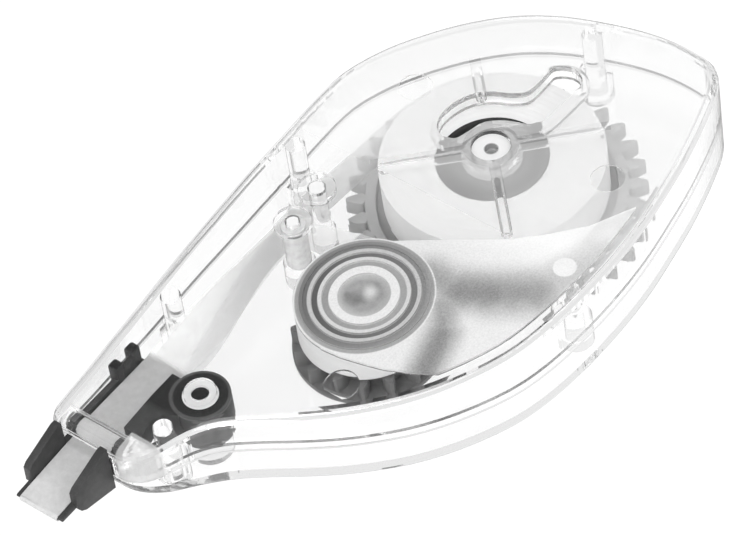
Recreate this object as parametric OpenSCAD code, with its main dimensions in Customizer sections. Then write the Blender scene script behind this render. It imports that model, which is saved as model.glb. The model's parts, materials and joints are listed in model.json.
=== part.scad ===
// Correction tape dispenser in a clear teardrop case.
// Two reels lie flat side by side. The supply gear drives the take-up gear, the tape runs from the
// roll past two guides and twists to lie flat under the blade, turns round its edge, comes back on
// top of it and twists again on its way to the take-up reel.
// Everything is drawn with the supply hub at the origin, and placed by its last module.

/* [Case] */
// Length of the case, from the nose face to the rear end
case_l = 75.4; // [74.5:0.1:76.5]
// Room between the supply gear's teeth and the side walls
side_room = 3; // [2.9:0.05:3.4]
// Thickness of the side walls
wall_t = 1.2; // [1:0.05:1.3]
// Thickness of the cover's top
top_t = 1.2; // [1:0.05:1.25]
// Thickness of the base's floor
floor_t = 1.2; // [1:0.05:1.25]
// Radius of the rounded top edge
edge_r = 1.1; // [0.8:0.05:1.2]
// Radius of the rounded bottom edge
foot_r = 0.8; // [0.5:0.05:1]
// Height of the seam between cover and base
seam_z = 5; // [4.9:0.05:5.2]
// How far the top drops towards the nose
nose_drop = 2.9; // [2.6:0.05:3]
// How far the bottom rises at the nose
nose_rise = 3.5; // [3.2:0.05:3.6]
// Length of the raised bottom at the nose
nose_rise_l = 8.5; // [7:0.1:9.5]
// Depth of the bar over the mouth
nose_bar_l = 3.2; // [2.5:0.1:3.6]
// Height of the lip inside the seam
lip_h = 0.8; // [0.5:0.05:1]
// Thickness of the lip inside the seam
lip_t = 0.7; // [0.5:0.05:0.8]

/* [Pins and marks] */
// Radius of the cover's closing pins
pin_r = 1.1; // [0.9:0.05:1.2]
// Wall of the sockets that take the closing pins
socket_t = 0.75; // [0.6:0.05:0.8]
// How far a closing pin goes below the seam
pin_below = 2.6; // [1.5:0.1:3]
// Radius of the round ejector marks
mark_r = 1.86; // [1.5:0.02:2]
// Depth of the round ejector marks
mark_depth = 0.12; // [0.08:0.01:0.2]

/* [Thumb pad] */
// Height of the frosted thumb pad over the cover's top
pad_h = 0.4; // [0.3:0.05:0.45]
// Radius of the pad round the ringed dial
pad_r = 7.5; // [7.2:0.05:7.8]
// Height of the dial's rings over the pad
ring_h = 0.22; // [0.15:0.01:0.3]
// Width of the dial's narrow rings
ring_w = 0.42; // [0.3:0.02:0.5]

/* [Window] */
// Reach of the window from the hub
window_reach = 13.56; // [13:0.02:14]
// Thickness of the collar under the window's edge
collar_t = 0.7; // [0.5:0.05:0.8]
// Outer radius of the ring round the hub post's hole
hub_ring_r = 3; // [2.9:0.05:3.2]

/* [Tape] */
// Width of the tape
tape_w = 5; // [4.8:0.05:5.1]
// Thickness that a free strip is drawn with
tape_t = 0.12; // [0.1:0.01:0.13]
// Margin of the gear's rim outside the supply roll
roll_margin = 1.975; // [1.9:0.025:2.2]
// Radius of the supply core
core_r = 6.1; // [5.8:0.05:6.4]
// Outer radius of the spent tape on the drum
wound_r = 7.3; // [7.1:0.05:7.6]

/* [Gears] */
// Module of both gears
gear_module = 0.9; // [0.88:0.005:0.91]
// Teeth of the supply gear
supply_teeth = 34; // [33:1:34]
// Teeth of the take-up gear
take_up_teeth = 16; // [16:1:17]
// Thickness of the toothed rims
gear_t = 1.8; // [1.5:0.05:1.9]
// How much each tooth is thinned
backlash = 0.22; // [0.18:0.01:0.26]
// Radius of the drum that takes up the tape
drum_r = 6.9; // [6.6:0.05:7]
// Thickness of the take-up flange
flange_t = 0.6; // [0.5:0.05:0.65]

/* [Posts] */
// Radius of the supply hub post
hub_post_r = 2.1; // [2:0.05:2.2]
// Radius of the bore in the top of the hub post
hub_bore_r = 0.72; // [0.5:0.02:0.9]
// Radius of the take-up post
take_up_post_r = 1.6; // [1.4:0.05:1.8]
// Radius of the post under the return roller
return_post_r = 0.75; // [0.65:0.05:0.85]
// Radius of the return roller
return_roller_r = 1.35; // [1.25:0.05:1.4]
// Radius of the fixed post that the supply strip slides over
guide_post_r = 0.95; // [0.85:0.05:1]
// Outer radius of the cover's sockets over the guide posts
guide_socket_r = 2.06; // [1.8:0.02:2.2]

/* [Head] */
// Height of the blade's upper face
blade_z = 6; // [5.95:0.05:6.1]
// Thickness of the head's plate
plate_t = 1; // [0.8:0.05:1.05]
// Width of the blade beyond the tape
blade_over = 1.16; // [1:0.02:1.3]
// Reach of the blade in front of the case
blade_reach = 7.7; // [7:0.1:8.5]
// Radius of the blade's front edge
blade_edge_r = 0.2; // [0.15:0.01:0.3]
// Thickness of a side fin
fin_t = 0.9; // [0.7:0.05:1]
// Outer radius of the head's eye
eye_r = 3.2; // [2.9:0.05:3.3]
// Radius of the pin inside the eye
eye_pin_r = 0.9; // [0.8:0.05:1]
// Outer radius of the cover's tube in the eye
eye_tube_r = 1.8; // [1.6:0.05:1.9]

/* [Clearances] */
// Radial clearance of a running shaft
run_gap = 0.06; // [0.04:0.01:0.08]
// Radial clearance of a fixed fit
fit_gap = 0.05; // [0.03:0.01:0.06]
// Axial gap beside a turning part
side_gap = 0.3; // [0.25:0.01:0.32]
// Gap between a tape strip and what it passes
strip_gap = 0.08; // [0.06:0.01:0.1]

/* [Hidden] */
// Overrun of a cut past the face that it opens
over = 1;
// Facets of round parts
round_fn = 96;
small_fn = 48;

// Stations of the case outline from the nose face to the rear end: share of the length, then the
// near side and the far side as shares of the width
outline_shares = [[0, 0.211, 0.402], [0.0033, 0.184, 0.4265], [0.0159, 0.152, 0.4461],
    [0.0398, 0.125, 0.4515], [0.0796, 0.0931, 0.4534], [0.1127, 0.0466, 0.4559],
    [0.1459, -0.0319, 0.4596], [0.179, -0.1201, 0.462], [0.2188, -0.2132, 0.4657],
    [0.2719, -0.3113, 0.4718], [0.3316, -0.3897, 0.4779], [0.4045, -0.4559, 0.4828],
    [0.4708, -0.4865, 0.4877], [0.5504, -0.5, 0.4926], [0.63, -0.5, 0.4988], [0.6963, -0.4902, 0.4939],
    [0.7626, -0.4706, 0.4534], [0.8223, -0.4498, 0.3897], [0.8753, -0.4252, 0.315],
    [0.9218, -0.3995, 0.223], [0.9576, -0.375, 0.1103], [0.9828, -0.3431, -0.0196],
    [0.996, -0.299, -0.1225], [1, -0.2132, -0.2132]];
// Share of the case length in front of the supply hub
hub_share = 0.6963;
// Steps drawn between two stations
span_steps = 3;
rows = len(outline_shares);
pitch_supply_r = gear_module * supply_teeth / 2;
case_w = 2 * (pitch_supply_r + gear_module + side_room + wall_t);
front_x = -hub_share * case_l;
rear_x = front_x + case_l;
function station_x(i) = front_x + outline_shares[i][0] * case_l;
function near_pt(i) = [station_x(i), outline_shares[i][1] * case_w];
function far_pt(i) = [station_x(i), outline_shares[i][2] * case_w];
// Smooth curve through p1 and p2, led by p0 and p3
function curve(p0, p1, p2, p3, t) =
    (2 * p1 + (p2 - p0) * t + (2 * p0 - 5 * p1 + 4 * p2 - p3) * t * t
    + (3 * p1 - p0 - 3 * p2 + p3) * t * t * t) / 2;
function side_pts(near) = [for (i = [0 : rows - 2]) for (k = [0 : span_steps - 1])
    let (p = function (j) near ? near_pt(j) : far_pt(j),
        q = function (j) near ? far_pt(j) : near_pt(j))
    curve(p(max(i - 1, 0)), p(i), p(i + 1), i + 2 < rows ? p(i + 2) : q(rows - 2), k / span_steps)];
near_side = side_pts(true);
far_side = side_pts(false);
steps = len(near_side);
// Closed outline, counter-clockwise: near side to the rear end, then back along the far side
outline = concat(near_side, [near_pt(rows - 1)], [for (j = [steps - 1 : -1 : 0]) far_side[j]]);
count = len(outline);
function unit(v) = v / norm(v);
function inward(i) = let (d = unit(outline[(i + 1) % count] - outline[(i + count - 1) % count]))
    [-d[1], d[0]];
inward_dirs = [for (i = [0 : count - 1]) inward(i)];

// Heights of the mechanism, from the floor up
flange_z = floor_t + side_gap;
take_up_teeth_z = flange_z + flange_t;
gear_z = take_up_teeth_z + side_gap;
gear_top_z = gear_z + gear_t;
tape_z = gear_top_z + side_gap;
tape_top_z = tape_z + tape_w;
tape_mid_z = tape_z + tape_w / 2;
core_lip = 0.1;
core_top_z = tape_top_z + core_lip;
drum_top_z = tape_top_z + side_gap;
rib_z = core_top_z + side_gap;
rib_h = 0.9;
rib_w = 1.2;
rib_reach = 12.2;
rib_end_t = 0.3;
case_h = rib_z + rib_h + top_t;
hub_post_drop = 0.6;
hub_post_z = case_h - hub_post_drop;
hub_bore_h = 2;
socket_foot_gap = 0.5;
socket_foot_z = tape_top_z + socket_foot_gap;

// The top falls from the bend to the nose, and the bottom rises in the last stretch
bend_share = 0.484;
bend_x = front_x + bend_share * case_l;
drop_power = 1.25;
rise_power = 1.6;
rise_x = front_x + nose_rise_l;
function top_z(x) =
    case_h - (x < bend_x ? nose_drop * pow((bend_x - x) / (bend_x - front_x), drop_power) : 0);
function foot_z(x) = x < rise_x ? nose_rise * pow((rise_x - x) / nose_rise_l, rise_power) : 0;

// Gears and reels
pitch_take_up_r = gear_module * take_up_teeth / 2;
take_up_x = -(pitch_supply_r + pitch_take_up_r);
take_up_at = [take_up_x, 0];
tip_round = 0.3;
flange_over = 0.09;
root_share = 1.25;
pressure = 20;
flange_r = pitch_take_up_r + gear_module + flange_over;
hub_tube_t = 1.13;
web_t = 0.8;
reel_wall_t = 0.8;
rim_in = 1.2;
thrust_t = 1.2;
clutch_lift = 2.4;
ring_squeeze = 0.04;
neck_r = pitch_take_up_r - root_share * gear_module;
drum_foot_z = gear_top_z + side_gap / 2;
drum_floor_t = 0.5;
drum_floor_z = drum_foot_z + drum_floor_t;
tube_r = hub_post_r + run_gap + hub_tube_t;
supply_root_r = pitch_supply_r - root_share * gear_module;
rim_inner_r = supply_root_r - rim_in;
roll_r = supply_root_r - roll_margin;
// How much narrower a tooth is at its root, in degrees, so that the small gear is undercut
root_spread = -0.9;
supply_turn = 0;
take_up_turn = supply_teeth % 2 == 0 ? 180 / take_up_teeth : 0;

// Guide posts, from the hub
// Distance of the tape's line at the head from the hub's line
roll_to_tip = 1.1;
tip_y = roll_r + roll_to_tip;
return_share = 0.853;
guide_share = 0.631;
return_in = 0.2;
guide_out = 0.1;
return_at = [return_share * take_up_x, tip_y - return_roller_r - return_in];
guide_at = [guide_share * take_up_x, tip_y - guide_post_r + guide_out];
post_top_gap = 0.2;
shoulder_t = 0.4;
shoulder_gap = 0.1;
function post_end_z(at) = top_z(at[0]) - top_t - post_top_gap;
function socket_end_z(at) = post_end_z(at) + post_top_gap + over;
corner_l = 3;
corner_gap = 0.3;
bar_r = 1.25;
bar_in = 1.6;
bar_low = 6.7;
eye_seat_r = 2.6;
seat_over = 0.2;
seat_w = 0.7;
seat_l = 5;

// Closing pins and ejector marks, as shares of the case length and width
pin_shares = [[0.553, 0.4436], [0.2507, 0.4118], [0.0729, 0.1716], [0.9483, 0.0196], [0.569, -0.4093]];
mark_shares = [[0.7268, 0.2892], [0.7347, -0.3235], [0.2507, -0.1495]];
function share_at(s) = [front_x + s[0] * case_l, s[1] * case_w];

// Window outline round the hub, as shares of its reach
window_shares = [[-0.124, 0.389], [-0.071, 0.478], [0.062, 0.527], [0.239, 0.504], [0.372, 0.434],
    [0.46, 0.327], [0.522, 0.195], [0.593, 0.106], [0.681, 0.08], [0.858, 0.08], [0.938, 0.071],
    [1, -0.044], [0.973, -0.159], [0.892, -0.221], [0.814, -0.221], [0.46, -0.203], [0.381, -0.159],
    [0.327, -0.106], [0.274, 0.044], [0.168, 0.186], [0.02, 0.235], [-0.084, 0.27], [-0.115, 0.327]];

// Head, from the nose face and the tape's line
mouth_side = 1.25;
mouth_half = tape_w / 2 + mouth_side;
mouth_z = 4.6;
mouth_top_z = 7.9;
plate_in = 12.8;
plate_side = 1.1;
plate_near = tape_w / 2 + plate_side;
plate_far_side = 0.9;
plate_far = tape_w / 2 + plate_far_side;
blade_half = (tape_w + blade_over) / 2;
blade_root = 1;
blade_tip_t = 2 * blade_edge_r;
rail_side = 0.2;
rail_in = tape_w / 2 + rail_side;
rail_t = 0.7;
rail_h = 0.6;
rail_from = 2;
wall_from = 8.8;
wall_to = 12.5;
notch_from = 9.8;
notch_l = 2.1;
notch_gap_z = 7.4;
eye_in = 11;
eye_down = 6.85;
eye_at = [front_x + eye_in, tip_y - eye_down];
eye_foot_z = 4.6;
eye_top_z = 8.4;
groove_floor = 0.9;
// Block between the tape and the eye, as distance from the nose face and from the tape's line
block_lift = 0.3;
block_near = tape_w / 2 + strip_gap;
block_pts = [[3.6, -block_near], [3.6, -5], [5.5, -4.5], [6.9, -5.1], [7.7, -6.5], [8.6, -6.6],
    [9.4, -4.9], [11.6, -4.3], [11.6, -block_near]];
low_wall_t = 0.85;
fin_side_gap = 0.15;
fin_in = tape_w / 2 + fin_side_gap;
fin_gap = 0.1;
// Side of a fin as distance in front of the nose and height
fin_side = [[0, 3], [0, 9.3], [0.6, 9.35], [5, 7.75], [5.45, 7.3], [5.5, 5.3], [5.1, 4.6], [4.4, 4.1]];

// Thumb pad outline, as shares of the case length from the nose face and of the width
dial_shares = [0.382, -0.0368];
pad_shares = [[0.4403, 0.103], [0.4695, 0.0319], [0.5199, -0.1029], [0.5676, -0.2377], [0.5995, -0.3039],
    [0.6472, -0.3848], [0.695, -0.4314], [0.7188, -0.4559], [0.7188, -0.56], [0.3408, -0.56],
    [0.3408, -0.3725], [0.325, -0.3235], [0.3117, -0.2745], [0.2985, -0.2157], [0.2905, -0.1569],
    [0.2838, -0.098], [0.2812, -0.0392], [0.382, -0.0368]];
pad_edge = 0.5;
dial_radii = [6.9, 6, 4.9];
dial_ring_in = 2.8;
dial_ring_out = 3.75;
dome_rise = 0.3;

// Middle of the whole part seen from above, with the strip round the blade
x_low = front_x - blade_reach - strip_gap - tape_t;
x_high = max([for (p = outline) p[0]]);
y_low = min([for (p = outline) p[1]]);
y_high = max([for (p = outline) p[1]]);
hub_place = [-(x_low + x_high) / 2, -(y_low + y_high) / 2, 0];
echo(hub = hub_place, take_up = hub_place + [take_up_x, 0, 0],
    roller = hub_place + [return_at[0], return_at[1], 0]);
module place() {
    translate(hub_place) children();
}

// Solid from rings of points, closed at both ends by strips across the outline
module loft(rings) {
    n = len(rings);
    pts = [for (r = rings) each r];
    sides = [for (k = [0 : n - 2]) for (i = [0 : count - 1])
        let (j = (i + 1) % count, a = k * count, b = a + count)
        each [[a + i, a + j, b + j], [a + i, b + j, b + i]]];
    function far_i(j) = 2 * steps - j;
    foot = [for (j = [0 : steps - 2]) each [[j, far_i(j + 1), j + 1], [j, far_i(j), far_i(j + 1)]]];
    lid = [for (f = foot) [for (v = [f[0], f[2], f[1]]) v + (n - 1) * count]];
    foot_tip = [[steps - 1, far_i(steps - 1), steps]];
    lid_tip = [[steps - 1, steps, far_i(steps - 1)] + [1, 1, 1] * (n - 1) * count];
    polyhedron(pts, [for (f = concat(sides, foot, lid, foot_tip, lid_tip)) [f[0], f[2], f[1]]],
        convexity = 6);
}

function inset_pt(i, d) = outline[i] + d * inward_dirs[i];
function flat_ring(z) = [for (p = outline) [p[0], p[1], z]];
fillet_steps = 4;
function top_ring(a) = [for (i = [0 : count - 1])
    let (p = inset_pt(i, edge_r * (1 - cos(a)))) [p[0], p[1], top_z(p[0]) - edge_r * (1 - sin(a))]];
function foot_ring(a) = [for (i = [0 : count - 1])
    let (p = inset_pt(i, foot_r * (1 - cos(a)))) [p[0], p[1], foot_z(p[0]) + foot_r * (1 - sin(a))]];

module inset_plan(d) {
    polygon([for (i = [0 : count - 1]) inset_pt(i, d)]);
}

// Block between two height curves along the case, wider than the case
profile_steps = 14;
function profile_x(k) = front_x - over + (rise_x - front_x + over) * k / profile_steps;
function slope_x(k) = front_x - over + (bend_x - front_x + over) * k / profile_steps;
module across(pts) {
    translate([0, case_w, 0]) rotate([90, 0, 0]) linear_extrude(2 * case_w) polygon(pts);
}
module below_top(d) {
    across(concat([for (k = [0 : profile_steps]) [slope_x(k), top_z(slope_x(k)) - d]],
        [[rear_x + over, case_h - d], [rear_x + over, -over], [front_x - over, -over]]));
}
module above_top(d) {
    across(concat([for (k = [0 : profile_steps]) [slope_x(k), top_z(slope_x(k)) - d]],
        [[rear_x + over, case_h - d], [rear_x + over, case_h + over], [front_x - over, case_h + over]]));
}
module above_floor(d) {
    across(concat([for (k = [0 : profile_steps]) [profile_x(k), foot_z(profile_x(k)) + d]],
        [[rear_x + over, d], [rear_x + over, case_h], [front_x - over, case_h]]));
}

module tube(r_in, r_out, z0, z1, fn = round_fn) {
    translate([0, 0, z0]) difference() {
        cylinder(r = r_out, h = z1 - z0, $fn = fn);
        translate([0, 0, -over]) cylinder(r = r_in, h = z1 - z0 + 2 * over, $fn = fn);
    }
}

module mouth() {
    translate([front_x - over, tip_y - mouth_half, mouth_z])
        cube([nose_bar_l + 2 * over, 2 * mouth_half, mouth_top_z - mouth_z]);
}

// Closed smooth curve through points, moved outwards by grow
function loop(pts, n) = let (m = len(pts)) [for (i = [0 : m - 1]) for (k = [0 : n - 1])
    curve(pts[(i + m - 1) % m], pts[i], pts[(i + 1) % m], pts[(i + 2) % m], k / n)];
function swell(pts, grow) = let (m = len(pts)) [for (i = [0 : m - 1])
    let (d = unit(pts[(i + 1) % m] - pts[(i + m - 1) % m])) pts[i] + grow * [-d[1], d[0]]];
window_loop = loop(window_shares * window_reach, 3);

module slab(z0, z1) {
    translate([0, 0, z0]) linear_extrude(z1 - z0) children();
}

// Part of the children between two depths below the cover's top, measured upwards
module on_top(low, high) {
    intersection() {
        children();
        above_top(-low);
        below_top(-high);
    }
}

module cover_shell() {
    top_rings = concat([flat_ring(seam_z)],
        [for (k = [0 : fillet_steps]) top_ring(90 * k / fillet_steps)]);
    difference() {
        loft(top_rings);
        intersection() {
            slab(seam_z - over, case_h) difference() {
                inset_plan(wall_t);
                translate([front_x, tip_y - mouth_half - corner_gap - case_w]) square([corner_l, case_w]);
            }
            below_top(top_t);
        }
        slab(seam_z - over, seam_z + lip_h + fit_gap) inset_plan(wall_t - lip_t - fit_gap);
        mouth();
    }
    // round bar over the mouth
    translate([front_x + bar_in, tip_y - mouth_half - bar_r / 2, bar_low + bar_r]) rotate([-90, 0, 0])
        cylinder(r = bar_r, h = 2 * mouth_half + bar_r, $fn = small_fn);
}

module pad() {
    on_top(-top_t / 2, pad_h) {
        slab(0, 2 * case_h) intersection() {
            polygon([for (s = pad_shares) share_at(s)]);
            inset_plan(edge_r + pad_edge);
        }
        translate(share_at(dial_shares)) cylinder(r = pad_r, h = 2 * case_h, $fn = round_fn);
    }
}

module dial() {
    at = share_at(dial_shares);
    on_top(0, pad_h + ring_h) translate(at) {
        for (r = dial_radii) tube(r - ring_w, r, 0, 2 * case_h);
        tube(dial_ring_in, dial_ring_out, 0, 2 * case_h);
    }
    dome_r = (pow(dial_ring_in, 2) + pow(dome_rise, 2)) / (2 * dome_rise);
    intersection() {
        translate([at[0], at[1], top_z(at[0]) + pad_h + dome_rise - dome_r])
            sphere(r = dome_r, $fn = round_fn);
        translate(at) cylinder(r = dial_ring_in + ring_w, h = 2 * case_h, $fn = round_fn);
        above_top(top_t / 2);
    }
}

// Round boss that hangs from the cover's top down to z0
module boss(at, r, z0) {
    translate([at[0], at[1], z0]) cylinder(r = r, h = top_z(at[0]) - top_t / 2 - z0, $fn = small_fn);
}

rib_l = rib_reach - hub_ring_r;
rib_body_h = case_h - top_t / 2 - rib_z - rib_w / 2;
module cover() {
    color([0.9, 0.92, 0.93, 0.5]) difference() {
        union() {
            cover_shell();
            pad();
            dial();
            // closing pins
            for (s = pin_shares) boss(share_at(s), pin_r, seam_z - pin_below);
            // cross ribs that keep the roll down
            for (a = [45 : 90 : 315]) rotate(a) translate([hub_ring_r - rib_w / 2, 0, rib_z + rib_w / 2]) {
                translate([0, -rib_w / 2, 0]) cube([rib_l, rib_w, rib_body_h]);
                rotate([0, 90, 0]) cylinder(r = rib_w / 2, h = rib_l, $fn = small_fn);
                translate([rib_l, 0, -rib_end_t])
                    cylinder(r = rib_w / 2, h = rib_body_h + rib_end_t, $fn = small_fn);
            }
            // collar under the window and rings over the posts
            slab(rib_z, case_h - top_t / 2) polygon(swell(window_loop, collar_t));
            tube(hub_post_r + fit_gap, hub_ring_r, rib_z, case_h);
            boss(take_up_at, take_up_post_r + socket_t, rib_z);
            boss(return_at, guide_socket_r, socket_foot_z);
            boss(guide_at, guide_socket_r, socket_foot_z);
            // tube in the head's eye
            boss(eye_at, eye_tube_r - fit_gap, eye_foot_z + groove_floor + side_gap);
        }
        translate([0, 0, -over]) {
            cylinder(r = hub_post_r + fit_gap, h = case_h + 2 * over, $fn = round_fn);
            translate(take_up_at)
                cylinder(r = take_up_post_r + fit_gap, h = socket_end_z(take_up_at), $fn = small_fn);
            translate(return_at)
                cylinder(r = return_post_r + fit_gap, h = socket_end_z(return_at), $fn = small_fn);
            translate(guide_at)
                cylinder(r = guide_post_r + fit_gap, h = socket_end_z(guide_at), $fn = small_fn);
            translate(eye_at)
                cylinder(r = eye_pin_r + fit_gap, h = eye_top_z + side_gap + over, $fn = small_fn);
        }
        slab(seam_z, case_h + over) polygon(window_loop);
        for (at = [for (s = mark_shares) share_at(s)]) translate([at[0], at[1], top_z(at[0]) - mark_depth])
            cylinder(r = mark_r, h = over, $fn = small_fn);
    }
}

seat_foot_z = foot_z(front_x + nose_bar_l) + floor_t / 2;
module base() {
    foot_rings = concat([for (k = [fillet_steps : -1 : 0]) foot_ring(90 * k / fillet_steps)],
        [flat_ring(seam_z)]);
    pins = [for (s = pin_shares) share_at(s)];
    color([0.88, 0.9, 0.92, 0.5]) difference() {
        union() {
            difference() {
                union() {
                    loft(foot_rings);
                    slab(seam_z - lip_h / 2, seam_z + lip_h) inset_plan(wall_t - lip_t);
                }
                intersection() {
                    slab(-over, case_h) inset_plan(wall_t);
                    above_floor(floor_t);
                }
                for (at = pins) translate([at[0], at[1], seam_z])
                    cylinder(r = pin_r + side_gap, h = case_h, $fn = small_fn);
                mouth();
            }
            // sockets for the closing pins
            for (at = pins) let (z = foot_z(at[0]) + floor_t / 2) translate([at[0], at[1], z])
                cylinder(r = pin_r + socket_t, h = seam_z - z, $fn = small_fn);
            // hub post with its thrust ring, take-up post, guide posts
            cylinder(r = hub_post_r, h = hub_post_z, $fn = round_fn);
            cylinder(r = hub_post_r + thrust_t, h = gear_z - side_gap / 2, $fn = round_fn);
            translate(take_up_at) {
                cylinder(r = take_up_post_r, h = post_end_z(take_up_at), $fn = round_fn);
                cylinder(r = take_up_post_r + thrust_t, h = flange_z - side_gap / 2, $fn = round_fn);
            }
            translate(return_at) {
                cylinder(r = return_post_r, h = post_end_z(return_at), $fn = small_fn);
                cylinder(r = return_roller_r + shoulder_t, h = gear_top_z - shoulder_gap, $fn = small_fn);
            }
            translate(guide_at) {
                cylinder(r = guide_post_r, h = post_end_z(guide_at), $fn = small_fn);
                cylinder(r = guide_post_r + shoulder_t, h = gear_top_z, $fn = small_fn);
            }
            // seats of the head
            translate([eye_at[0], eye_at[1], floor_t / 2])
                cylinder(r = eye_seat_r, h = eye_foot_z - fit_gap - floor_t / 2, $fn = small_fn);
            for (y = [tip_y - plate_near - seat_over, tip_y + tape_w / 2 + strip_gap + seat_over])
                translate([front_x + nose_bar_l, y, seat_foot_z])
                    cube([seat_l, seat_w, blade_low_z - fit_gap - seat_foot_z]);
        }
        translate([0, 0, hub_post_z - hub_bore_h])
            cylinder(r = hub_bore_r, h = hub_bore_h + over, $fn = small_fn);
        for (at = pins) translate([at[0], at[1], seam_z - pin_below - post_top_gap])
            cylinder(r = pin_r + fit_gap, h = case_h, $fn = small_fn);
    }
}

// Involute gear outline; the tooth on the +X axis is whole
function involute_angle(r, base_r) = let (c = min(1, base_r / r), a = acos(c)) (tan(a) * 180 / PI - a);
function tooth_half(r, pitch_r, base_r, thin) =
    (gear_module * PI / 2 - thin) / (2 * pitch_r) * 180 / PI + involute_angle(pitch_r, base_r)
    - involute_angle(max(r, base_r), base_r);
flank_steps = 5;
module gear_plan(teeth, turn) {
    pitch_r = gear_module * teeth / 2;
    base_r = pitch_r * cos(pressure);
    root_r = pitch_r - root_share * gear_module;
    tip_r = pitch_r + gear_module;
    low_r = max(base_r, root_r);
    radii = [for (k = [0 : flank_steps]) low_r + (tip_r - tip_round - low_r) * k / flank_steps];
    tip_a = tooth_half(tip_r - tip_round, pitch_r, base_r, backlash);
    flank = concat([[root_r, tooth_half(low_r, pitch_r, base_r, backlash) + root_spread]],
        [for (r = radii) [r, tooth_half(r, pitch_r, base_r, backlash)]], [[tip_r, tip_a / 2]]);
    m = len(flank);
    polygon([for (t = [0 : teeth - 1]) let (at = turn + 360 * t / teeth)
        each concat([for (f = flank) f[0] * [cos(at - f[1]), sin(at - f[1])]],
            [for (k = [m - 1 : -1 : 0]) flank[k][0] * [cos(at + flank[k][1]), sin(at + flank[k][1])]])]);
}

module supply_gear() {
    color([0.78, 0.78, 0.77]) difference() {
        union() {
            difference() {
                slab(gear_z, gear_top_z) gear_plan(supply_teeth, supply_turn);
                translate([0, 0, gear_z + web_t]) cylinder(r = rim_inner_r, h = gear_t, $fn = round_fn);
            }
            translate([0, 0, gear_z]) cylinder(r = tube_r, h = core_top_z - gear_z, $fn = round_fn);
        }
        translate([0, 0, gear_z - over]) cylinder(r = hub_post_r + run_gap, h = case_h, $fn = round_fn);
    }
}

module supply_core() {
    color([0.08, 0.08, 0.08]) {
        tube(core_r - reel_wall_t, core_r, tape_z, core_top_z);
        tube(tube_r + run_gap, core_r - reel_wall_t / 2, core_top_z - web_t, core_top_z);
    }
}

module clutch_ring() {
    color([0.15, 0.15, 0.15]) rotate_extrude($fn = round_fn)
        translate([(tube_r + run_gap + core_r - reel_wall_t + ring_squeeze) / 2, tape_z + clutch_lift])
            circle(r = (core_r - reel_wall_t + ring_squeeze - tube_r - run_gap) / 2, $fn = small_fn);
}

module supply_roll() {
    color([0.96, 0.96, 0.95]) tube(core_r, roll_r, tape_z, tape_top_z);
}

module take_up_reel() {
    color([0.3, 0.3, 0.31]) translate(take_up_at) difference() {
        union() {
            translate([0, 0, flange_z]) cylinder(r = flange_r, h = flange_t, $fn = round_fn);
            slab(take_up_teeth_z - flange_t / 2, gear_top_z) gear_plan(take_up_teeth, take_up_turn);
            translate([0, 0, gear_z]) cylinder(r = neck_r, h = drum_floor_z - gear_z, $fn = round_fn);
            translate([0, 0, drum_foot_z])
                cylinder(r = drum_r, h = drum_top_z - drum_foot_z, $fn = round_fn);
        }
        difference() {
            translate([0, 0, drum_floor_z])
                cylinder(r = drum_r - reel_wall_t, h = case_h, $fn = round_fn);
            cylinder(r = take_up_post_r + run_gap + hub_tube_t, h = case_h, $fn = round_fn);
        }
        cylinder(r = take_up_post_r + run_gap, h = case_h, $fn = round_fn);
    }
}

module take_up_winding() {
    color([0.82, 0.82, 0.8]) translate(take_up_at) tube(drum_r, wound_r, tape_z, tape_top_z);
}

module return_roller() {
    color([0.85, 0.86, 0.87]) translate(return_at)
        tube(return_post_r + run_gap, return_roller_r, tape_z - side_gap, tape_top_z + side_gap, small_fn);
}

// Side outline of the blade with its rounded edge, as distance in front of the nose and height
edge_steps = 8;
blade_low_z = blade_z - plate_t;
function edge_arc(r) = [for (k = [0 : edge_steps]) let (a = 180 * k / edge_steps - 90)
    [blade_reach - blade_edge_r + r * cos(a), blade_low_z + blade_edge_r + r * sin(a)]];
module side_extrude(half, pts) {
    translate([front_x, tip_y + half, 0]) rotate([90, 0, 0]) linear_extrude(2 * half)
        polygon([for (p = pts) [-p[0], p[1]]]);
}

module applicator_head() {
    color([0.28, 0.28, 0.29]) difference() {
        union() {
            side_extrude(blade_half, concat([[-blade_root, blade_low_z]], edge_arc(blade_edge_r),
                [[0, blade_z], [-blade_root, blade_z]]));
            translate([front_x, tip_y - plate_near, blade_low_z])
                cube([plate_in, plate_near + plate_far, plate_t]);
            // side fins
            for (side = [-1, 1]) translate([0, side * (fin_in + fin_t / 2), 0])
                side_extrude(fin_t / 2, [for (p = fin_side) p + [fin_gap, 0]]);
            // rail and notched wall beside the tape
            translate([front_x + rail_from, tip_y + rail_in, blade_low_z])
                cube([wall_from - rail_from, rail_t, plate_t + rail_h]);
            translate([front_x + wall_from, tip_y + rail_in, blade_low_z])
                cube([wall_to - wall_from, rail_t, eye_top_z - blade_low_z]);
            // low wall under the bar, block and eye
            translate([front_x + rail_from, tip_y - block_near - low_wall_t, blade_low_z])
                cube([plate_in - rail_from - eye_r, low_wall_t, plate_t + rail_h]);
            intersection() {
                translate([front_x, tip_y, 0]) slab(blade_low_z + block_lift, eye_top_z) polygon(block_pts);
                below_top(top_t + side_gap);
            }
            translate([eye_at[0], eye_at[1], eye_foot_z])
                cylinder(r = eye_r, h = eye_top_z - eye_foot_z, $fn = round_fn);
        }
        translate([front_x + notch_from, tip_y, notch_gap_z]) cube([notch_l, 2 * rail_in, case_h]);
        translate([eye_at[0], eye_at[1], 0])
            tube(eye_pin_r, eye_tube_r, eye_foot_z + groove_floor, case_h, small_fn);
    }
}

// Free strips: a level run seen from above, a twist, and a flat run seen from the side,
// each as places along the tape with its half width and half thickness
strip_off = strip_gap + tape_t / 2;
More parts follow.
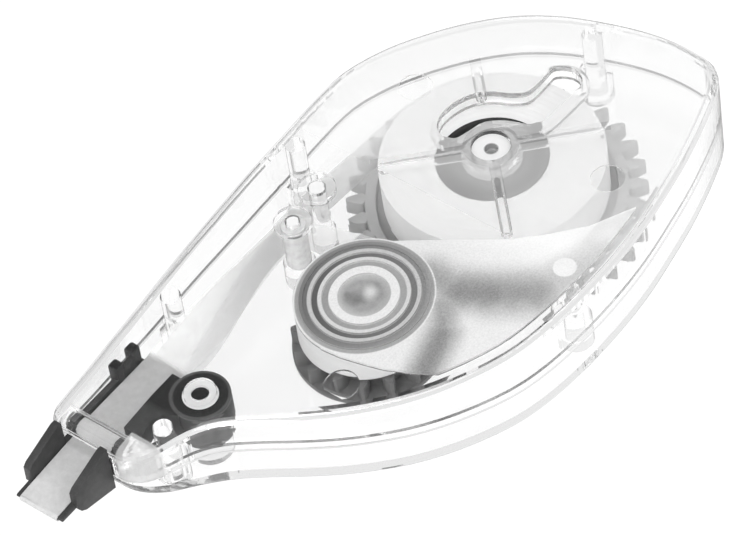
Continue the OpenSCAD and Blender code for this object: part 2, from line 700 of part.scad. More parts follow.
// Direction of the outer tangent from circle 1 to circle 2, on the side given
function tangent_a(c1, r1, c2, r2, side) = let (d = c2 - c1)
    atan2(d[1], d[0]) + side * acos((r1 - r2) / norm(d));
function arc(c, r, a0, a1, n) =
    [for (k = [0 : n]) let (a = a0 + (a1 - a0) * k / n) c + r * [cos(a), sin(a)]];
supply_a = tangent_a([0, 0], roll_r + strip_off, guide_at, guide_post_r + strip_off, -1);
return_a = tangent_a(return_at, return_roller_r + strip_off, take_up_at, wound_r + strip_off, 1);
twist_start = 1.6;
twist_from_x = return_at[0] - twist_start;
twist_end = 0.3;
twist_to_x = front_x + plate_in + twist_end;
twist_power = 1.5;
supply_y = guide_at[1] + guide_post_r + strip_off;
return_y = return_at[1] + return_roller_r + strip_off;
function level_run(path) = let (m = len(path)) [for (i = [0 : m - 1])
    let (d = unit(path[min(i + 1, m - 1)] - path[max(i - 1, 0)]))
    [[path[i][0], path[i][1], tape_mid_z], [0, 0, tape_w / 2], [d[1], -d[0], 0] * tape_t / 2]];
function flat_run(path) = let (m = len(path)) [for (i = [0 : m - 1])
    let (d = unit(path[min(i + 1, m - 1)] - path[max(i - 1, 0)]))
    [[front_x - path[i][0], tip_y, path[i][1]], [0, tape_w / 2, 0], [-d[1], 0, -d[0]] * tape_t / 2]];
twist_steps = 24;
// Part of a strip that turns from standing to lying, without its two ends
function twist_run(from_y, to_z) = [for (k = [1 : twist_steps - 1])
    let (s = k / twist_steps, e = s * s * (3 - 2 * s), a = 90 * pow(s, twist_power))
    [[twist_from_x + (twist_to_x - twist_from_x) * s, from_y + (tip_y - from_y) * e,
        tape_mid_z + (to_z - tape_mid_z) * e],
        [0, sin(a), cos(a)] * tape_w / 2, [0, cos(a), -sin(a)] * tape_t / 2]];
module strip(places) {
    pts = [for (p = places) each [p[0] + p[1] + p[2], p[0] - p[1] + p[2], p[0] - p[1] - p[2],
        p[0] + p[1] - p[2]]];
    n = len(places);
    last = 4 * (n - 1);
    // both wide sides are cut along the same diagonal, so that they stay apart where the strip twists
    faces = concat([for (k = [0 : n - 2]) for (i = [0 : 3])
        let (j = (i + 1) % 4, a = 4 * k, b = a + 4) each i < 2
            ? [[a + i, b + j, a + j], [a + i, b + i, b + j]]
            : [[a + i, b + i, a + j], [a + j, b + i, b + j]]],
        [[0, 1, 2], [0, 2, 3], [last, last + 2, last + 1], [last, last + 3, last + 2]]);
    polyhedron(pts, faces, convexity = 4);
}

supply_path = concat([(roll_r + strip_off) * [cos(supply_a), sin(supply_a)]],
    arc(guide_at, guide_post_r + strip_off, supply_a, 90, 4), [[twist_from_x, supply_y]]);
module supply_strip() {
    color([0.9, 0.9, 0.89]) strip(concat(level_run(supply_path),
        twist_run(supply_y, blade_low_z - strip_off),
        flat_run(concat([[front_x - twist_to_x, blade_low_z - strip_off]],
            edge_arc(blade_edge_r + strip_off)))));
}

return_path = concat([take_up_at + (wound_r + strip_off) * [cos(return_a), sin(return_a)]],
    arc(return_at, return_roller_r + strip_off, return_a, 90, 10), [[twist_from_x, return_y]]);
module return_strip() {
    color([0.8, 0.8, 0.79]) strip(concat(level_run(return_path),
        twist_run(return_y, blade_z + strip_off),
        flat_run([[front_x - twist_to_x, blade_z + strip_off], [0, blade_z + strip_off],
            [blade_reach - blade_edge_r - strip_gap, blade_low_z + blade_tip_t + strip_off]])));
}

place() cover();
place() base();
place() supply_gear();
place() supply_core();
place() clutch_ring();
place() supply_roll();
place() take_up_reel();
place() take_up_winding();
place() return_roller();
place() applicator_head();
place() supply_strip();
place() return_strip();
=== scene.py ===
import json
from functools import reduce
from math import cos, pi, radians, sin

import bmesh
import bpy
from mathutils import Matrix, Vector


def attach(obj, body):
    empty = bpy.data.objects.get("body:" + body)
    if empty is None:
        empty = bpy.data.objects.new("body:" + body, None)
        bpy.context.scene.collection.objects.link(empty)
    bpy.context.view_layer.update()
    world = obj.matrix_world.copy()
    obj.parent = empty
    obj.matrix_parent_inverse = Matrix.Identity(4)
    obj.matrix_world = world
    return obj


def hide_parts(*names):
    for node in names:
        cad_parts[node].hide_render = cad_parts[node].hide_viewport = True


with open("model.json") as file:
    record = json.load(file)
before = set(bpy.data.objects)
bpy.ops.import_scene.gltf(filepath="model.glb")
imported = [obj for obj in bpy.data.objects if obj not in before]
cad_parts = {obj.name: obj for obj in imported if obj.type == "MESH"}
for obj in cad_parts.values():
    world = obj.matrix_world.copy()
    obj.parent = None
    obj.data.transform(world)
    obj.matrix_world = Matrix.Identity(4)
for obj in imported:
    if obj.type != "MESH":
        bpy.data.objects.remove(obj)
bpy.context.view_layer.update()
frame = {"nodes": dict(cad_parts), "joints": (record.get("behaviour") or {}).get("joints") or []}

MM = 0.001
scene = bpy.context.scene
nodes = frame["nodes"]
joints = {joint["name"]: joint for joint in frame["joints"]}
HUB = Vector(joints["supply_spin"]["pos_m"]) * Vector((1, 1, 0))
TAKE_UP = Vector(joints["take_up_spin"]["pos_m"]) * Vector((1, 1, 0))


# Camera, from the photograph's vanishing lines and its long lens

VIEW_DOWN = radians(49.2)
VIEW_ROLL = radians(-9.3)
VIEW_DISTANCE = 518.9 * MM
AIM = HUB + Vector((-19.76, 0.24, 11.4)) * MM

forward = Vector((cos(VIEW_DOWN) / 2 ** 0.5, cos(VIEW_DOWN) / 2 ** 0.5, -sin(VIEW_DOWN)))
level = Vector((1, -1, 0)).normalized()
upright = level.cross(forward)
right = level * cos(VIEW_ROLL) + upright * sin(VIEW_ROLL)
top = upright * cos(VIEW_ROLL) - level * sin(VIEW_ROLL)

camera_data = bpy.data.cameras.new("camera")
camera_data.lens = 240
camera_data.sensor_width = 36
camera_data.clip_start = 0.01
camera_data.clip_end = 20
camera = bpy.data.objects.new("camera", camera_data)
scene.collection.objects.link(camera)
camera.matrix_world = Matrix.Translation(AIM - forward * VIEW_DISTANCE) @ Matrix(
    (right, top, -forward)
).transposed().to_4x4()
scene.camera = camera


# Material expressions

class Value:
    """A number socket that takes Python's operators."""

    def __init__(self, finish, socket):
        self.finish = finish
        self.socket = socket

    def math(self, operation, *others, clamp=False):
        node = self.finish.new("ShaderNodeMath", operation=operation, use_clamp=clamp)
        for entry, value in zip(node.inputs, (self, *others)):
            self.finish.plug(entry, value)
        return Value(self.finish, node.outputs[0])

    def back(self, operation, other):
        """The operation with the other number in front."""
        node = self.finish.new("ShaderNodeMath", operation=operation)
        self.finish.plug(node.inputs[0], other)
        self.finish.plug(node.inputs[1], self)
        return Value(self.finish, node.outputs[0])

    def __add__(self, other): return self.math("ADD", other)
    def __radd__(self, other): return self.math("ADD", other)
    def __sub__(self, other): return self.math("SUBTRACT", other)
    def __rsub__(self, other): return self.back("SUBTRACT", other)
    def __mul__(self, other): return self.math("MULTIPLY", other)
    def __rmul__(self, other): return self.math("MULTIPLY", other)
    def __truediv__(self, other): return self.math("DIVIDE", other)
    def __gt__(self, other): return self.math("GREATER_THAN", other)

    def sine(self): return self.math("SINE")
    def root(self): return self.math("SQRT")
    def absolute(self): return self.math("ABSOLUTE")
    def largest(self, other): return self.math("MAXIMUM", other)
    def smallest(self, other): return self.math("MINIMUM", other)
    def clamped(self): return self.math("ADD", 0, clamp=True)

    def step(self, edge, width):
        """0 below edge, 1 above it, over a soft band of the width given."""
        return ((self - edge) / width + 0.5).clamped()

    def between(self, low, high, width):
        return self.step(low, width) * (1 - self.step(high, width))

    def over(self, share, below):
        """This value laid over another, as much as share says."""
        return below + share * (self - below)


class Finish:
    """One material and the nodes that make it. Its x, y and z are in millimetres."""

    def __init__(self, name, **sockets):
        self.material = bpy.data.materials.new(name)
        self.material.use_nodes = True
        self.nodes = self.material.node_tree.nodes
        self.links = self.material.node_tree.links
        self.shader = next(n for n in self.nodes if n.type == "BSDF_PRINCIPLED")
        self.output = next(n for n in self.nodes if n.type == "OUTPUT_MATERIAL")
        self.place = self.new("ShaderNodeTexCoord").outputs["Object"]
        parts = self.node("ShaderNodeSeparateXYZ", Vector=self.place)
        self.x, self.y, self.z = (Value(self, parts.outputs[i]) / MM for i in range(3))
        self.set(**sockets)

    def new(self, kind, **settings):
        node = self.nodes.new(kind)
        for name, value in settings.items():
            setattr(node, name, value)
        return node

    def node(self, kind, settings=None, **values):
        node = self.new(kind, **(settings or {}))
        for name, value in values.items():
            self.plug(node.inputs[name.replace("_", " ")], value)
        return node

    def plug(self, entry, value):
        """Links a value or socket to an input, or sets the input's own number or colour."""
        if isinstance(value, Value):
            value = value.socket
        if isinstance(value, bpy.types.NodeSocket):
            self.links.new(value, entry)
        elif isinstance(value, tuple) and len(value) == 3 and len(entry.default_value) == 4:
            entry.default_value = (*value, 1)
        else:
            entry.default_value = value

    def set(self, shader=None, **sockets):
        shader = shader or self.shader
        for socket, value in sockets.items():
            self.plug(shader.inputs[socket.replace("_", " ")], value)

    def noise(self, scale, detail=2, rough=0.5):
        """Noise from 0 to 1, with scale in features a millimetre."""
        mapping = self.node("ShaderNodeMapping", Vector=self.place, Scale=(scale / MM,) * 3)
        texture = self.node(
            "ShaderNodeTexNoise", Vector=mapping.outputs[0], Scale=1.0, Detail=detail,
            Roughness=rough,
        )
        return Value(self, texture.outputs["Fac"])

    def streaks(self, along, scale, detail=2):
        """Noise from 0 to 1 that changes only with the value along."""
        texture = self.node(
            "ShaderNodeTexNoise", {"noise_dimensions": "1D"}, W=along, Scale=scale, Detail=detail
        )
        return Value(self, texture.outputs["Fac"])

    def radius(self, centre):
        """Distance in millimetres from the upright axis through centre."""
        dx, dy = self.x - centre[0], self.y - centre[1]
        return (dx * dx + dy * dy).root()

    def blot(self, centre, reach, turn):
        """A soft spot seen from above: 1 in its middle and 0 at its reach."""
        c, s = cos(radians(turn)), sin(radians(turn))
        dx, dy = self.x - centre[0], self.y - centre[1]
        along = (dx * c + dy * s) / reach[0]
        across = (dy * c - dx * s) / reach[1]
        left = (1 - (along * along + across * across)).largest(0)
        return left * left

    def smear(self, start, end, reach):
        """A soft streak between two places seen from above: 1 along it and 0 at its reach."""
        ax, ay = end[0] - start[0], end[1] - start[1]
        dx, dy = self.x - start[0], self.y - start[1]
        along = ((dx * ax + dy * ay) / (ax * ax + ay * ay)).clamped()
        dx, dy = dx - along * ax, dy - along * ay
        left = (1 - (dx * dx + dy * dy) / reach ** 2).largest(0)
        return left * left

    def level(self, value):
        """A number made a grey colour."""
        node = self.node("ShaderNodeCombineColor", Red=value, Green=value, Blue=value)
        return node.outputs[0]

    def bump(self, height, depth, shader=None):
        """Bump from a height of 0 to 1, with depth in millimetres."""
        node = self.node("ShaderNodeBump", Strength=1.0, Distance=depth * MM, Height=height)
        self.set(shader, Normal=node.outputs[0])

    def blend(self, share, first, second):
        """A shader made of two others, by share."""
        node = self.new("ShaderNodeMixShader")
        for entry, value in zip(node.inputs, (share, first.outputs[0], second.outputs[0])):
            self.plug(entry, value)
        return node

    def finish(self, surface):
        self.links.new(surface.outputs[0], self.output.inputs["Surface"])


def grey(level):
    return (level, level, level)


def dress(name, finish):
    """Gives a CAD node's own mesh its finish."""
    mesh = nodes[name].data
    mesh.materials.clear()
    mesh.materials.append(finish.material)


def mm(point):
    return tuple(value / MM for value in point)


# Places that finishes and pieces share, in millimetres

HUB_MM, TAKE_UP_MM = mm(HUB), mm(TAKE_UP)
NOSE_X = HUB_MM[0] - 52.501
TAPE_Y = HUB_MM[1] + 13.3
DIAL = (HUB_MM[0] - 23.698, HUB_MM[1] - 1.501)
EYE = (HUB_MM[0] - 41.501, HUB_MM[1] + 6.45)
PIN_TOP = (HUB_MM[0] - 9.6, HUB_MM[1] - 16.9)

EYE_HOLE_R = 0.95

# The cover's flat top drops towards the nose in front of x = SLOPE_FROM
TOP_HIGH = 12
TOP_SLOPE = 0.075
SLOPE_FROM = 2
# Above this, over the flat top, is the thumb pad, which stands 0.4 high
PAD_EDGE = 0.25
# The four ribs and the ring under the cover's rear, round the hub
RIB_HALF = 0.62
RIBS_REACH = 12.8
HUB_RING_R = 3.02
# The frosted corner block beside the nose
CORNER_X = NOSE_X + 3.0
CORNER_Y = TAPE_Y - 4.3

# All tape is 5 mm wide: it stands upright on the reels and twists flat towards the nose
TAPE_LOW = 4.5
TAPE_HIGH = 9.5
TAPE_W = TAPE_HIGH - TAPE_LOW
TWIST_FROM = HUB_MM[0] - 20.7925
TWIST_TO = NOSE_X + 13.1


# Clear case: polished styrene, with frosted places

CLEAR_IOR = 1.49
# How dark the painted shade on a wall looked along gets, and the Layer Weight where it starts
RIM_SHADE = 0.75
RIM_FROM = 0.82
# Light is caught between two walls after this many turns, and comes out this bright
LONGEST_PATH = 7
CAUGHT_LIGHT = 0.8


def clear_plastic(name):
    """Clear plastic and the frosted shader that is laid over parts of it."""
    clear = Finish(name, IOR=CLEAR_IOR, Base_Color=grey(1.0), Transmission_Weight=1.0)
    clear.set(Roughness=0.02 + clear.noise(0.4) * 0.03)
    clear.bump(clear.noise(0.12, detail=1), 0.05)
    frost = clear.node("ShaderNodeBsdfPrincipled", Roughness=0.45, IOR=CLEAR_IOR)
    return clear, frost


def let_lamps_in(clear, frost, share):
    """Lays the frost over the clear plastic, lets light from the lamps through both, and ends
    light that is caught between two walls as the soft grey that it would come out with."""
    # painted shade: walls looked along get a dark grey, for the dark surroundings they refract
    tilt = Value(clear, clear.node("ShaderNodeLayerWeight", Blend=0.5).outputs["Facing"])
    painted_rim_shade = clear.node("ShaderNodeBsdfPrincipled", Base_Color=grey(0.1), Roughness=0.5)
    edges = clear.blend(RIM_SHADE * tilt.step(RIM_FROM, 0.2), clear.shader, painted_rim_shade)
    surface = clear.blend(share, edges, frost)
    path = clear.new("ShaderNodeLightPath")
    caught = Value(clear, path.outputs["Ray Depth"]) > LONGEST_PATH
    dusk = clear.node("ShaderNodeEmission", Color=grey(CAUGHT_LIGHT), Strength=1.0)
    surface = clear.blend(caught, surface, dusk)
    see = clear.node("ShaderNodeBsdfTransparent", Color=grey(0.97))
    clear.finish(clear.blend(path.outputs["Is Shadow Ray"], surface, see))


# Painted shade on the sloping pad over the reel: both ends, reach and depth of each soft streak
PAD_SHADE_STREAKS = (
    ((0.9, -5.6), (0.7, -9.5), 3.6, 0.42),
    ((0.7, -9.5), (2.3, -12.7), 4.4, 0.52),
    ((2.3, -12.7), (5, -16.5), 4.8, 0.46),
    ((5, -16.5), (12, -19), 4.0, 0.32),
    ((-1.4, -9.4), (-4.6, -11.4), 2.8, 0.44),
    ((-4.6, -11.4), (-9.2, -12.6), 3.2, 0.52),
)
DARKEST_PAD_SHADE = 0.58
# The dial's rings, from its dome outwards: inner and outer radius, tone, which paints highlight
# on the raised light rings, and how much painted shade the far side gets
RINGS = (
    (2.8, 3.78, 0.83, 0.0),
    (3.78, 4.46, 0.37, -0.04),
    (4.46, 4.92, 0.68, 0.0),
    (4.92, 5.56, 0.16, -0.06),
    (5.56, 6.02, 0.56, 0.0),
    (6.02, 6.9, 0.24, -0.06),
    (6.9, 7.34, 0.36, 0.0),
    (7.34, 8.2, 0.8, 0.0),
)
DIAL_R = 7.5


def dial_tone(clear):
    """Tones of the dial: a clouded dome with one light spot, and the rings round it."""
    cx, cy = DIAL
    r = clear.radius(DIAL)
    # how far a point lies towards the dial's far side, where the dark rings get painted shade
    side = ((clear.x - cx) * -0.6 + (clear.y - cy) * 0.8) / 7
    dome = 0.34 + 0.16 * (clear.noise(0.9, detail=2) - 0.5)
    dome = dome + 0.3 * clear.blot((cx + 0.5, cy - 0.4), (1.5, 1.1), 30)
    dome = dome - 0.14 * clear.blot((cx - 0.9, cy + 0.6), (1.4, 2.2), 20)
    # painted light: the ground round the dome is a little lighter towards the far side
    tone = (0.5 + 0.05 * side).over(r.step(2.3, 0.8), dome)
    for low, high, level, far_shade in RINGS:
        tone = (level + far_shade * side).over(r.between(low, high, 0.14), tone)
    return tone


def pad_tone(clear, grain):
    """Tones of the frosted thumb pad and its dial."""
    shade_streaks = (clear.smear(start, end, reach) * depth for start, end, reach, depth in PAD_SHADE_STREAKS)
    # painted shade: the deepest streak at each point, held above the darkest allowed
    dark = reduce(Value.largest, shade_streaks).smallest(DARKEST_PAD_SHADE)
    tone = 0.8 + 0.2 * clear.x.step(8, 8) - dark
    # the top of the corner pin shows through as a pale spot
    pin = 0.75 * (1 - clear.radius(PIN_TOP).step(1.25, 0.12))
    tone = tone + pin * (0.98 - tone)
    # the grain shows most where the pad is dark
    speckle = 1 + 1.6 * (grain - 0.5) * (1 - 0.85 * tone)
    on_dial = 1 - clear.radius(DIAL).step(DIAL_R, 0.1)
    return dial_tone(clear).over(on_dial, tone) * speckle


def veil(clear, above):
    """Share of the faint milky veil on the flat top over the rear of the case, thinner over
    the ribs and the hub ring."""
    hub_r = clear.radius(HUB_MM)
    dx, dy = clear.x - HUB_MM[0], clear.y - HUB_MM[1]
    rib = (dx - dy).absolute().smallest((dx + dy).absolute()) / 2 ** 0.5
    ribs = (1 - rib.step(RIB_HALF, 0.06)) * (1 - hub_r.step(RIBS_REACH, 0.06))
    thick = ribs.largest(1 - hub_r.step(HUB_RING_R, 0.06))
    flat = above.between(-0.12, PAD_EDGE, 0.04)
    return flat * 0.4 * clear.x.step(8, 12) * (1 - 0.35 * thick)


def cover_plastic():
    clear, frost = clear_plastic("cover_plastic")
    x, y, z = clear.x, clear.y, clear.z
    above = z - (TOP_HIGH - TOP_SLOPE * (SLOPE_FROM - x).largest(0))
    pad = above.step(PAD_EDGE, 0.1)
    corner = (1 - x.step(CORNER_X, 0.2)) * (1 - y.step(CORNER_Y, 0.2))
    grain = clear.noise(4.5, detail=3, rough=0.8)
    tone = pad_tone(clear, grain).over(pad, 0.97)
    tone = (0.66 + 0.2 * grain).over(corner, tone)
    clear.set(frost, Base_Color=clear.level(tone))
    clear.bump(grain, 0.02, frost)
    # the pad thins out towards its rear end
    pad_share = 0.94 - 0.22 * x.step(14, 6)
    share = (pad * pad_share).largest(veil(clear, above)).largest(corner * 0.5)
    let_lamps_in(clear, frost, share)
    return clear


POST_R = 2.2
POST_HOLE_R = 0.8
POST_END_Z = 10.6


def base_plastic():
    """Clear, with the hub post's rough top end, which is darker in its middle."""
    clear, frost = clear_plastic("base_plastic")
    r = clear.radius(HUB_MM)
    post_end = (1 - r.step(POST_R, 0.05)) * clear.z.step(POST_END_Z, 0.2)
    clear.set(frost, Base_Color=clear.level(0.4 + 0.48 * r.step(POST_HOLE_R, 0.1)))
    clear.bump(clear.noise(6), 0.01, frost)
    let_lamps_in(clear, frost, post_end * 0.9)
    return clear


def roller_plastic():
    """The return roller's clear plastic, dulled by the film that runs over it."""
    clear, frost = clear_plastic("roller_plastic")
    scuffs = clear.noise(1.5, detail=3)
    clear.set(frost, Base_Color=clear.level(0.8 + 0.16 * scuffs))
    clear.bump(clear.streaks(clear.z, 3), 0.01, frost)
    let_lamps_in(clear, frost, 0.3 + 0.25 * scuffs)
    return clear


# Moulded plastics

def satin(name, rough, grain):
    """Satin moulded plastic with a fine surface grain, still without its colour."""
    plastic = Finish(name)
    fine = plastic.noise(9, detail=2, rough=0.6)
    plastic.set(Roughness=rough - 0.06 + 0.12 * fine)
    plastic.bump(fine, grain)
    return plastic


def moulded(name, level, rough, cloud, grain):
    """Satin moulded plastic with faint clouding."""
    plastic = satin(name, rough, grain)
    soft = plastic.noise(0.3, detail=3)
    plastic.set(Base_Color=plastic.level(level * (1 - cloud + 2 * cloud * soft)))
    return plastic


def turned(name, level, rough, centre, pitch, depth):
    """Moulded plastic with the faint rings of a turned mould."""
    plastic = Finish(name)
    r = plastic.radius(centre)
    rings = (r * (2 * pi / pitch)).sine() * 0.5 + 0.5
    fine = plastic.noise(8, detail=2)
    plastic.set(
        Base_Color=plastic.level(level * (0.95 + 0.1 * plastic.noise(0.35, detail=3))),
        Roughness=rough + 0.1 * plastic.streaks(r, 1.5),
    )
    plastic.bump(rings * 0.6 + fine * 0.4, depth)
    return plastic


def black_core():
    """Black turned plastic, a little lighter on its inner step and at its rim."""
    core = turned("core_plastic", level=0.016, rough=0.3, centre=HUB_MM, pitch=1.3, depth=0.02)
    r = core.radius(HUB_MM)
    tone = 0.012 + 0.045 * r.between(3.2, 4.5, 0.3) + 0.02 * r.step(5.6, 0.3)
    core.set(Base_Color=core.level(tone), Specular_IOR_Level=0.22)
    return core


def nose_plastic():
    """The head's dark plastic: blackest on its flat inner tops, as painted shade, and painted
    lighter on walls and wings.
    """
    plastic = satin("head_plastic", rough=0.46, grain=0.012)
    eye_r = plastic.radius(EYE)
    # painted shade: the tops inside the case are blacker than the nose in front of it
    tone = 0.045 - 0.031 * plastic.x.step(NOSE_X + 0.6, 0.4)
    # painted light: the walls under the tops are lighter than the tops
    walls = 1 - plastic.z.step(8.3, 0.08)
    tone = (0.03 + 0.04 * plastic.noise(1.2, detail=3)).over(walls, tone)
    # painted highlight on the rim round the eye, and painted shade that makes its hole black
    tone = tone + 0.07 * eye_r.between(2.9, 3.3, 0.16) * plastic.z.step(8.0, 0.1)
    tone = tone.over(eye_r.step(EYE_HOLE_R, 0.05), 0.008)
    cloud = 0.8 + 0.4 * plastic.noise(0.5, detail=3)
    specks = 0.03 * plastic.noise(14, detail=0).step(0.72, 0.08)
    plastic.set(Base_Color=plastic.level(tone * cloud + specks), Specular_IOR_Level=0.3)
    return plastic


# Wound and free tape

def wound(name, level, centre, layer):
    """Tape or film wound in thin layers, seen as fine rings on its flat sides."""
    tape = Finish(name)
    r = tape.radius(centre)
    layers = tape.streaks(r, 1 / layer, detail=1)
    broad = tape.streaks(r, 1.1, detail=2)
    tape.set(
        Base_Color=tape.level(level * (0.965 + 0.05 * layers + 0.03 * broad)),
        Roughness=0.55 + 0.15 * layers,
    )
    tape.bump(layers * 0.5 + broad * 0.5, 0.015)
    return tape


def strip_finish(name, level, shade, plate, see_through):
    """A free strip: see-through and shaded along one edge where it twists, and solid, with the
    tone plate, where it lies on the head."""
    tape = Finish(name)
    across = Value(tape, tape.new("ShaderNodeAttribute", attribute_name="across").outputs["Fac"])
    mottle = tape.noise(1.4, detail=4, rough=0.65)
    fine = tape.noise(6, detail=2)
    twist = ((tape.x - TWIST_FROM) / (TWIST_TO - TWIST_FROM)).clamped()
    shadow = 1 - (across - TAPE_W / 2 + 4.4 * twist).step(0, 0.5)
    shadow = shadow * tape.x.between(TWIST_TO + 0.5, TWIST_FROM + 1, 1.0)
    on_plate = 1 - tape.x.step(TWIST_TO + 0.4, 0.8)
    on_blade = 1 - tape.x.step(NOSE_X - 0.2, 0.4)
    tone = (plate + 0.1 * on_blade).over(on_plate, level - shade * shadow)
    tape.set(
        Base_Color=tape.level(tone * (0.8 + 0.4 * mottle)),
        Roughness=0.35 + 0.2 * fine,
        Alpha=1 - see_through * (1 - on_plate),
    )
    tape.bump(mottle * 0.7 + fine * 0.3, 0.02)
    return tape


# Making pieces

def link(name, shape, body, finish, node=None, smooth=40):
    """Makes a bmesh a finished piece that rides on a body, in place of a CAD node if one is
    named. Edges sharper than smooth degrees stay sharp."""
    data = bpy.data.meshes.new(name)
    shape.to_mesh(data)
    shape.free()
    data.materials.append(finish.material)
    piece = bpy.data.objects.new(name, data)
    scene.collection.objects.link(piece)
    for face in data.polygons:
        face.use_smooth = True
    data.set_sharp_from_angle(angle=radians(smooth))
    if node:
        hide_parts(node)
    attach(piece, body)


def ease(shape, edges, width, segments=2):
    """Rounds edges by a width in millimetres."""
    bmesh.ops.bevel(
        shape, geom=edges, offset=width * MM, offset_type="OFFSET", affect="EDGES",
        segments=segments, profile=0.5, material=-1, clamp_overlap=True,
    )


def sharp_edges(shape, angle):
    return [e for e in shape.edges if e.is_manifold and e.calc_face_angle() > radians(angle)]


def copied(node):
    """A CAD node's mesh with its loose triangles joined."""
    shape = bmesh.new()
    shape.from_mesh(nodes[node].data)
    bmesh.ops.remove_doubles(shape, verts=shape.verts, dist=0.0005 * MM)
    return shape


def eased(node, width):
    """A copy of a CAD node with its flat faces whole and its sharp edges rounded."""
    shape = copied(node)
    bmesh.ops.dissolve_limit(
        shape, angle_limit=radians(1), verts=shape.verts, edges=shape.edges, delimit={"NORMAL"}
    )
    ease(shape, sharp_edges(shape, 35), width)
    return shape


def lathed(corners, centre, steps):
    """A closed outline of radius and height in millimetres, turned round an upright axis."""
    shape = bmesh.new()
    cx, cy = centre[0] * MM, centre[1] * MM
    line = [shape.verts.new((cx + r * MM, cy, z * MM)) for r, z in corners]
    edges = [shape.edges.new((a, b)) for a, b in zip(line, line[1:] + line[:1])]
    bmesh.ops.spin(
        shape, geom=line + edges, cent=(cx, cy, 0), axis=(0, 0, 1), angle=2 * pi,
        steps=steps, use_merge=True, use_duplicate=False,
    )
    bmesh.ops.remove_doubles(shape, verts=shape.verts, dist=0.001 * MM)
    bmesh.ops.recalc_face_normals(shape, faces=shape.faces)
    return shape


# The notched wall's arms: how far they reach across from the tape's middle, and up
ARMS_Y = (2.7, 3.95)
ARMS_Z = (5.3, 8.38)


def hook_arm(from_nose, to_nose):
    """One arm of the notched wall beside the tape, standing out towards the case."""
    low = Vector((NOSE_X + from_nose, TAPE_Y + ARMS_Y[0], ARMS_Z[0])) * MM
    high = Vector((NOSE_X + to_nose, TAPE_Y + ARMS_Y[1], ARMS_Z[1])) * MM
    placed = Matrix.Translation((low + high) / 2) @ Matrix.Diagonal((*(high - low), 1))
    shape = bmesh.new()
    bmesh.ops.create_cube(shape, size=1, matrix=placed)
    ease(shape, shape.edges[:], 0.3, segments=3)
    return shape


FEWEST_LAYERS = 6
LAYER_W = 0.15


def coil(centre, inner, outer, uneven):
    """Wound tape: a turned outline whose layers stand a little uneven on both flat sides."""
    count = max(FEWEST_LAYERS, round((outer - inner) / LAYER_W))
    top, bottom = [], []
    for k in range(count + 1):
        share = k / count
        r = inner + (outer - inner) * share
        top_dip = uneven * (0.5 + 0.5 * sin(41 * share) * cos(17 * share + 1))
        bottom_dip = uneven * (0.5 + 0.5 * sin(37 * share + 2) * cos(23 * share))
        top.append((r, TAPE_HIGH - top_dip))
        bottom.append((r, TAPE_LOW + bottom_dip))
    return lathed(top + bottom[::-1], centre, steps=144)


def eye_ring():
    """The frosted end of the cover's tube in the head's eye."""
    outer, low, high = 1.93, 8.4, 8.46
    corners = ((EYE_HOLE_R, low), (outer, low), (outer, high), (EYE_HOLE_R, high))
    shape = lathed(corners, EYE, steps=64)
    ease(shape, sharp_edges(shape, 60), 0.02)
    return shape


STRIP_MID_Z = (TAPE_LOW + TAPE_HIGH) / 2
BLADE_MID_X = NOSE_X - 5


def strip(node, side_y, flat_z, run_on=0):
    """A copy of a free strip that keeps the place across the tape, in millimetres, for its
    finish. It comes from an upright run at side_y to a flat one at flat_z, and its end on the
    blade runs on by run_on."""
    shape = copied(node)
    across = shape.verts.layers.float.new("across")
    for vert in shape.verts:
        px, py, pz = mm(vert.co)
        share = min(1, max(0, (px - TWIST_FROM) / (TWIST_TO - TWIST_FROM)))
        glide = share * share * (3 - 2 * share)
        turn = radians(90 * share ** 1.5)
        mid_y = side_y + (TAPE_Y - side_y) * glide if share else py
        mid_z = STRIP_MID_Z + (flat_z - STRIP_MID_Z) * glide
        vert[across] = (py - mid_y) * sin(turn) + (pz - mid_z) * cos(turn)
        if px < BLADE_MID_X:
            vert.co.x -= run_on * MM
    return shape


# Case

dress("cover", cover_plastic())
dress("base", base_plastic())

# Gears, reels and head

gear_plastic = turned(
    "gear_plastic", level=0.41, rough=0.4, centre=HUB_MM, pitch=0.7, depth=0.008
)
core_plastic = black_core()
reel_plastic = turned(
    "reel_plastic", level=0.14, rough=0.36, centre=TAKE_UP_MM, pitch=0.8, depth=0.01
)
head_plastic = nose_plastic()

for name, node, width, body, slot, finish in (
    ("gear_wheel", "supply_gear", 0.12, "drive", "gear_plastic", gear_plastic),
    ("roll_core", "supply_core", 0.08, "supply_reel", "core_plastic", core_plastic),
    ("spent_reel", "take_up_reel", 0.12, "take_up", "dark_plastic", reel_plastic),
    ("nose_head", "applicator_head", 0.16, "case", "dark_plastic", head_plastic),
):
    link(name, eased(node, width), body, finish, node)
for name, from_nose, to_nose in (("hook_arm_near", 8.7, 10.0), ("hook_arm_far", 11.3, 12.7)):
    link(name, hook_arm(from_nose, to_nose), "case", head_plastic)
dress("clutch_ring", moulded("ring_rubber", level=0.03, rough=0.65, cloud=0.06, grain=0.03))
dress("return_roller", roller_plastic())

# Wound tape, the eye's ring and the free strips

roll_tape = wound("roll_tape", level=0.88, centre=HUB_MM, layer=0.16)
wound_film = wound("wound_film", level=0.8, centre=TAKE_UP_MM, layer=0.1)
frosted_end = moulded("frosted_end", level=0.84, rough=0.5, cloud=0.03, grain=0.008)
fresh_finish = strip_finish("fresh_tape", level=0.95, shade=0.08, plate=0.56, see_through=0.6)
spent_finish = strip_finish("spent_film", level=0.95, shade=0.25, plate=0.5, see_through=0.78)

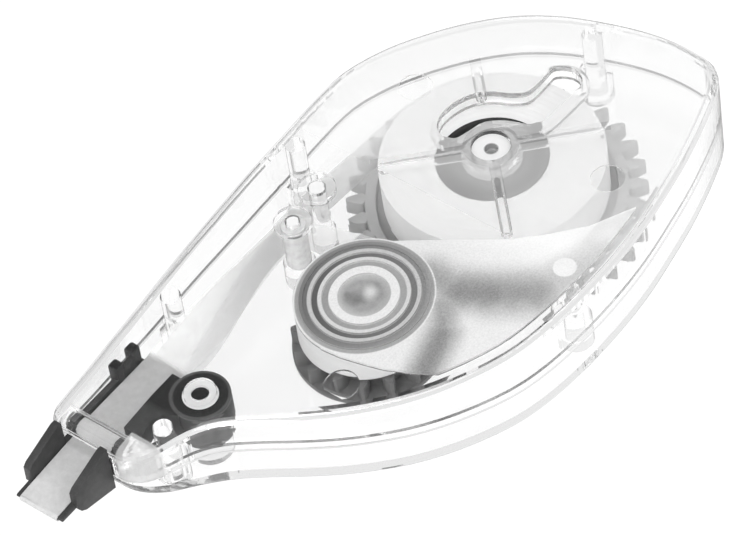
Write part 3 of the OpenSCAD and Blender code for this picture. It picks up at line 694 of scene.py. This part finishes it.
link(
    "tape_roll", coil(HUB_MM, inner=6.1, outer=12.2, uneven=0.05),
    "supply_reel", roll_tape, "supply_roll", smooth=30,
)
link(
    "film_winding", coil(TAKE_UP_MM, inner=6.9, outer=7.3, uneven=0.2),
    "take_up", wound_film, "take_up_winding", smooth=30,
)
link("eye_ring", eye_ring(), "case", frosted_end)
link(
    "spent_film", strip("return_strip", side_y=HUB_MM[1] + 13.24, flat_z=6.14, run_on=0.09),
    "case", spent_finish, "return_strip", smooth=50,
)
link(
    "fresh_tape", strip("supply_strip", side_y=HUB_MM[1] + 13.54, flat_z=4.86),
    "case", fresh_finish, "supply_strip", smooth=50,
)


# Floor: pale paper, white where it is looked at, straight or through the clear case

FLOOR_HALF = 3
# in millimetres, so that the case doesn't share its plane
FLOOR_Z = -0.02
GLOW_SHARE = 0.9
paper = Finish("paper_floor", Roughness=0.9, Base_Color=grey(0.85))
glow = paper.node("ShaderNodeEmission", Strength=1.1)
path = paper.new("ShaderNodeLightPath")
looks = ("Is Camera Ray", "Is Transmission Ray", "Is Glossy Ray")
seen = reduce(Value.largest, (Value(paper, path.outputs[ray]) for ray in looks))
paper.finish(paper.blend(seen * GLOW_SHARE, paper.shader, glow))

floor_mesh = bmesh.new()
bmesh.ops.create_grid(
    floor_mesh, x_segments=1, y_segments=1, size=FLOOR_HALF,
    matrix=Matrix.Translation((0, 0, FLOOR_Z * MM)),
)
floor_data = bpy.data.meshes.new("floor")
floor_mesh.to_mesh(floor_data)
floor_mesh.free()
floor_data.materials.append(paper.material)
floor = bpy.data.objects.new("floor", floor_data)
scene.collection.objects.link(floor)


# World: an even pale studio with a darker ceiling behind the object, so that flat clear tops
# mirror little of it

CEILING_TOWARDS = (0.46, 0.46, 0.76)
world = bpy.data.worlds.new("studio")
scene.world = world
world.use_nodes = True
sky = world.node_tree
facing = sky.nodes.new("ShaderNodeVectorMath")
facing.operation = "DOT_PRODUCT"
facing.inputs[1].default_value = CEILING_TOWARDS
direction = sky.nodes.new("ShaderNodeTexCoord")
sky.links.new(direction.outputs["Generated"], facing.inputs[0])
fall = sky.nodes.new("ShaderNodeMapRange")
fall.interpolation_type = "SMOOTHSTEP"
# from the cosine and strength at the ceiling's edge to those in its middle
for entry, value in (("From Min", 0.72), ("From Max", 0.97), ("To Min", 0.85), ("To Max", 0.12)):
    fall.inputs[entry].default_value = value
sky.links.new(facing.outputs["Value"], fall.inputs["Value"])
background = sky.nodes["Background"]
background.inputs["Color"].default_value = (1, 1, 1, 1)
sky.links.new(fall.outputs["Result"], background.inputs["Strength"])


# Lamps

def soft_lamp(name, azimuth, elevation, distance, size, power):
    """A square lamp that looks at the object from the angles given in degrees."""
    data = bpy.data.lights.new(name, "AREA")
    data.shape = "SQUARE"
    data.size = size
    data.energy = power
    lamp = bpy.data.objects.new(name, data)
    scene.collection.objects.link(lamp)
    a, e = radians(azimuth), radians(elevation)
    back = Vector((sin(a) * cos(e), -cos(a) * cos(e), sin(e)))
    lamp.location = AIM + back * distance
    lamp.rotation_mode = "QUATERNION"
    lamp.rotation_quaternion = back.to_track_quat("Z", "Y")


soft_lamp("key_lamp", azimuth=-75, elevation=55, distance=0.6, size=0.35, power=1.4)
soft_lamp("fill_lamp", azimuth=60, elevation=60, distance=0.7, size=0.5, power=0.6)

scene.view_settings.view_transform = "Standard"
# clear walls pass light many times before it leaves them
MOST_BOUNCES = 16
scene.cycles.max_bounces = MOST_BOUNCES
scene.cycles.transmission_bounces = MOST_BOUNCES
scene.cycles.glossy_bounces = MOST_BOUNCES
